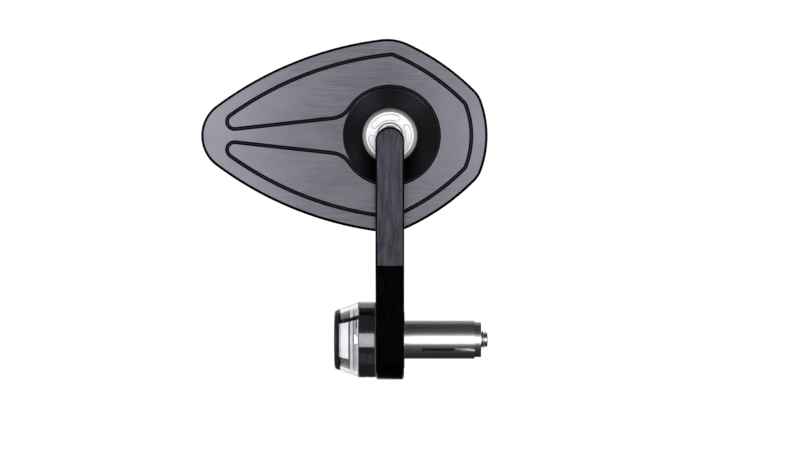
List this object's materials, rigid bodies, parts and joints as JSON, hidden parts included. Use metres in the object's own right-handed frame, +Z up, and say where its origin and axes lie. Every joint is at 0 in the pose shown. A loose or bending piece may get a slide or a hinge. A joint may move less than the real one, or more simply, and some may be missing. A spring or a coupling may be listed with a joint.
{
  "type": "bar-end mirror",
  "caption": "Black machined bar-end mirror: teardrop head on a ball joint, flat bent arm with an eye, and a handlebar plug with an expander and a clear-lensed indicator lamp.",
  "frame": {"origin": "on the handlebar's axis, in the plane where the bar ends and the stop washer bears", "axes": "+X along the bar axis into the handlebar, towards the grip; +Y towards the rider, the way the reflecting face looks; +Z up"},
  "size_m": [0.1301, 0.0634, 0.1551],
  "materials": {
    "head_black": "satin black anodised, fine directional grain",
    "arm_black": "black anodised over a coarse brushed grain",
    "lamp_black": "gloss black",
    "bright_steel": "fine turned, bright",
    "liner_steel": "satin",
    "mirror_face": "polished, reflecting",
    "adhesive_foam": "matt",
    "bearing_plastic": "smooth matt",
    "clear_lens": "clear, polished",
    "reflector_chrome": "bright, faceted",
    "core_black": "gloss black",
    "window_white": "translucent white",
    "seal_rubber": "matt black",
    "board_mask": "green solder mask",
    "chip_yellow": "cast resin",
    "plain_steel": "turned, zinc plated",
    "sleeve_alloy": "turned"
  },
  "bodies": {
    "bar_unit": {"lamp_base": "lamp_black", "friction_washer": "bearing_plastic", "stop_washer": "plain_steel", "base_seal": "seal_rubber", "lamp_bezel": "lamp_black", "lens_seal": "seal_rubber", "lamp_lens": "clear_lens", "end_cap": "core_black", "reflector_ring": "reflector_chrome", "led_board": "board_mask", "leds": "chip_yellow", "lamp_core": "core_black", "light_windows": "window_white", "bolt_washer": "plain_steel", "expander_sleeve": "sleeve_alloy"},
    "arm": {"arm": "arm_black", "ball_stud": "bright_steel", "eye_bush": "bearing_plastic"},
    "liner": {"ball_liner": "liner_steel"},
    "socket": {"socket_cup": "bearing_plastic"},
    "head": {"head_shell": "head_black", "retaining_ring": "bright_steel", "slip_washer": "bearing_plastic", "glass_pad": "adhesive_foam", "mirror_glass": "mirror_face"},
    "bolt": {"clamp_bolt": "plain_steel"},
    "cone": {"expander_cone": "plain_steel"}
  },
  "joints": [
    {"name": "arm_swing", "type": "hinge", "parent": "bar_unit", "child": "arm", "pos_m": [0, 0, 0], "axis": [1, 0, 0], "continuous": true},
    {"name": "head_tilt", "type": "hinge", "parent": "arm", "child": "liner", "pos_m": [-0.00665, -0.01616, 0.093], "axis": [1, 0, 0], "range_deg": [-8, 14]},
    {"name": "head_pan", "type": "hinge", "parent": "liner", "child": "socket", "pos_m": [-0.00665, -0.01616, 0.093], "axis": [0, 0, 1], "range_deg": [-12, 12]},
    {"name": "head_spin", "type": "hinge", "parent": "socket", "child": "head", "pos_m": [-0.00665, -0.01616, 0.093], "axis": [0, 1, 0], "range_deg": [-35, 215]},
    {"name": "bolt_turn", "type": "hinge", "parent": "bar_unit", "child": "bolt", "pos_m": [0, 0, 0], "axis": [1, 0, 0], "range_deg": [-720, 0]},
    {"name": "cone_slide", "type": "slide", "parent": "bar_unit", "child": "cone", "axis": [1, 0, 0], "range_m": [0, 0.0026]}
  ],
  "couplings": [
    {"joint": "cone_slide", "follows": "bolt_turn", "m_per_rad": -0.00019894}
  ]
}
